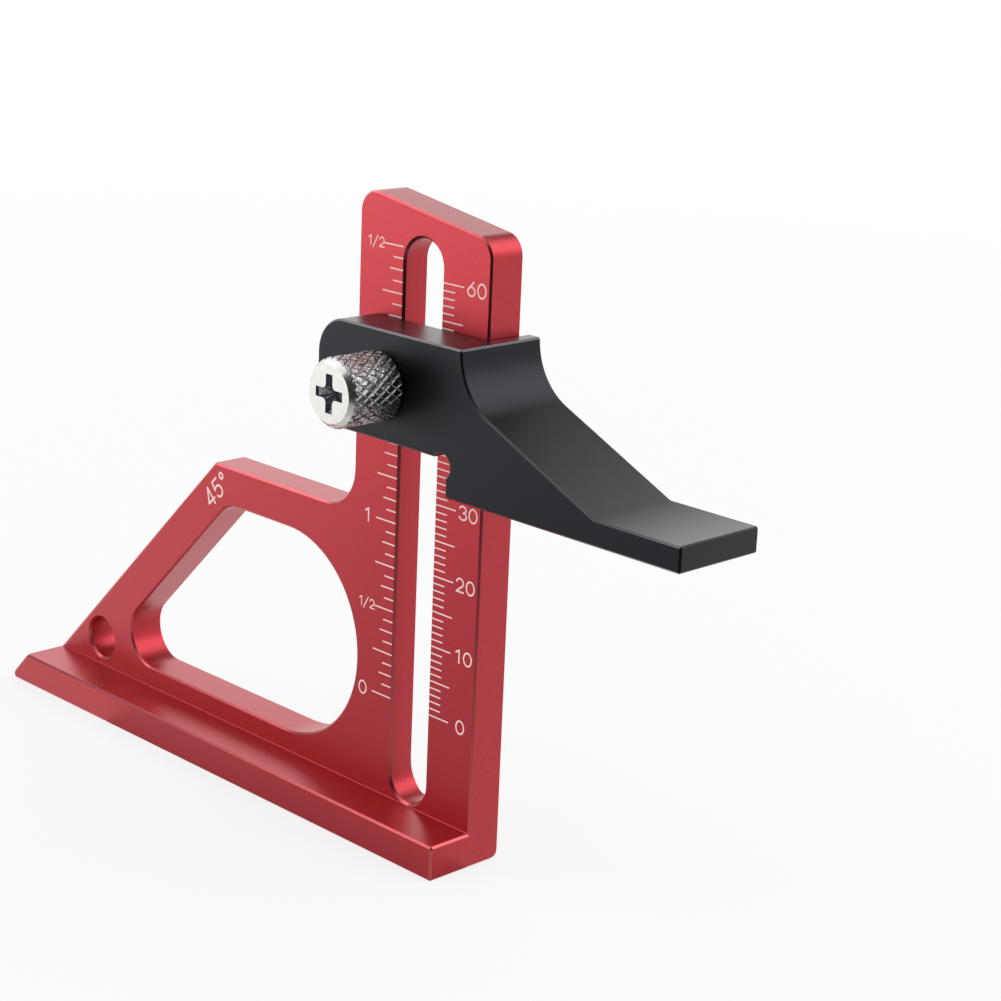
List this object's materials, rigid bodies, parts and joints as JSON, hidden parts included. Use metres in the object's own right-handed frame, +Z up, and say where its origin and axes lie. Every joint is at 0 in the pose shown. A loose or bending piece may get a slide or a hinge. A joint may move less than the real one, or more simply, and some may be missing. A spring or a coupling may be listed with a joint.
{
  "type": "table saw depth gauge",
  "caption": "Standing height and depth gauge: an upright beam with mm and inch scales on a foot, and a sliding arm clamped by a knurled screw.",
  "frame": {"origin": "on the base, under the slot's centre line, in the plane of the upright plate's front face", "axes": "+X along the foot towards the upright measuring edge and the arm, +Y to the back, +Z up the beam"},
  "size_m": [0.1406, 0.0231, 0.09],
  "materials": {
    "red_anodised": "satin red anodised, pale laser-marked scales",
    "black_anodised": "satin black anodised",
    "nickel_screw": "nickel plated, knurled",
    "steel_nut": "zinc plated"
  },
  "bodies": {
    "frame": {"frame": "red_anodised"},
    "slider": {"slider_arm": "black_anodised"},
    "screw": {"thumb_screw": "nickel_screw"},
    "nut": {"clamp_nut": "steel_nut"}
  },
  "joints": [
    {"name": "slider_travel", "type": "slide", "parent": "frame", "child": "slider", "axis": [0, 0, 1], "range_m": [-0.0538, 0.0118]},
    {"name": "nut_release", "type": "slide", "parent": "slider", "child": "nut", "axis": [0, 1, 0], "range_m": [0, 0.0011]},
    {"name": "screw_turn", "type": "hinge", "parent": "slider", "child": "screw", "pos_m": [0, -0.01, 0.0663], "axis": [0, -1, 0], "range_deg": [0, 495]}
  ],
  "couplings": [
    {"joint": "screw_turn", "follows": "nut_release", "rad_per_m": 7853.9}
  ]
}
